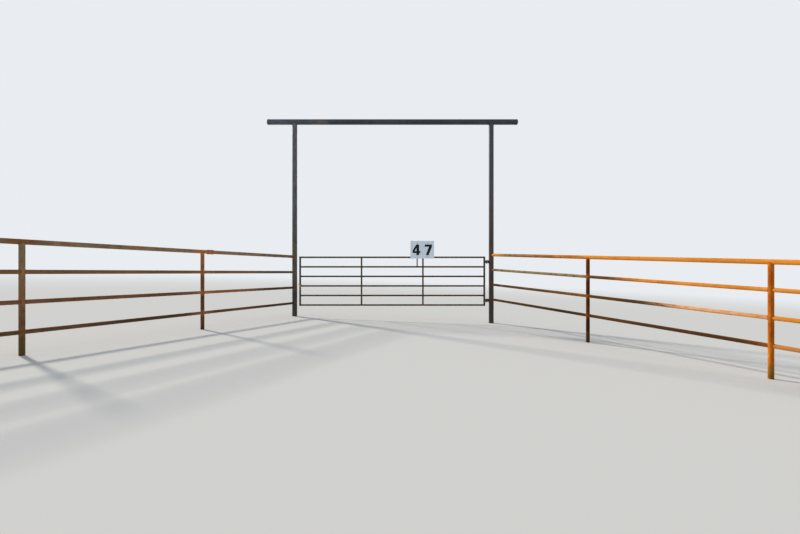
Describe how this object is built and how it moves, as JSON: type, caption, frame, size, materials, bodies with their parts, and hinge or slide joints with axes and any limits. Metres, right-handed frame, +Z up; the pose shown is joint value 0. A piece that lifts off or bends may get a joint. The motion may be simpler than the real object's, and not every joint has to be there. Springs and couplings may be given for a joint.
{
  "type": "ranch entrance gateway with swinging pipe gate and pipe wing fences",
  "caption": "Tall welded pipe portal with a header, a swinging pipe gate with a small number sign, and sloping pipe rail wing fences that flare towards the road.",
  "frame": {"origin": "centre of the flat foot of the right gate post, the one that carries the hinges, at the lowest ground level", "axes": "+X to the right as seen from the road, along the header; +Y away from the road; +Z up, along the gate posts"},
  "size_m": [12.7507, 8.6451, 5.2919],
  "materials": {
    "portal_steel": "dark brown rust patina, matte",
    "fence_steel": "bright orange-brown rust, matte",
    "gate_steel": "dark weathered brown with a grey-green tint, matte",
    "hinge_steel": "worn dark forged steel",
    "sign_face": "pale bluish-white painted sheet, satin",
    "chain_steel": "weathered zinc-plated steel",
    "lock_brass": "tarnished brass",
    "shackle_steel": "dulled hardened steel"
  },
  "bodies": {
    "gateway": {"right_gate_post": "portal_steel", "left_gate_post": "portal_steel", "header_pipe": "portal_steel", "header_cap_left": "portal_steel", "header_cap_right": "portal_steel", "right_line_post_1": "fence_steel", "right_line_post_2": "fence_steel", "right_line_post_3": "fence_steel", "right_top_rail": "fence_steel", "right_bay_1_rails": "fence_steel", "right_bay_2_rails": "fence_steel", "right_bay_3_rails": "fence_steel", "left_line_post_1": "fence_steel", "left_line_post_2": "fence_steel", "left_line_post_3": "fence_steel", "left_top_rail": "fence_steel", "left_rail_coupling": "fence_steel", "left_bay_1_rails": "fence_steel", "left_bay_2_rails": "fence_steel", "left_bay_3_rails": "fence_steel", "hinge_post_leaf_upper": "hinge_steel", "hinge_post_leaf_lower": "hinge_steel", "hinge_pins": "hinge_steel"},
    "gate": {"gate_top_rail": "gate_steel", "gate_bottom_rail": "gate_steel", "gate_hinge_stile": "gate_steel", "gate_latch_stile": "gate_steel", "gate_stile_caps": "gate_steel", "gate_upright_1": "gate_steel", "gate_upright_2": "gate_steel", "gate_bay_1_rails": "gate_steel", "gate_bay_2_rails": "gate_steel", "gate_bay_3_rails": "gate_steel", "hinge_gate_leaf_upper": "hinge_steel", "hinge_gate_leaf_lower": "hinge_steel", "sign_plate": "sign_face", "sign_straps": "gate_steel", "latch_chain": "chain_steel", "padlock_body": "lock_brass", "padlock_shackle": "shackle_steel"}
  },
  "joints": [
    {"name": "gate_swing", "type": "hinge", "parent": "gateway", "child": "gate", "pos_m": [-0.1135, 0, 0.59], "axis": [0, 0, 1], "range_deg": [-110, 110]}
  ]
}
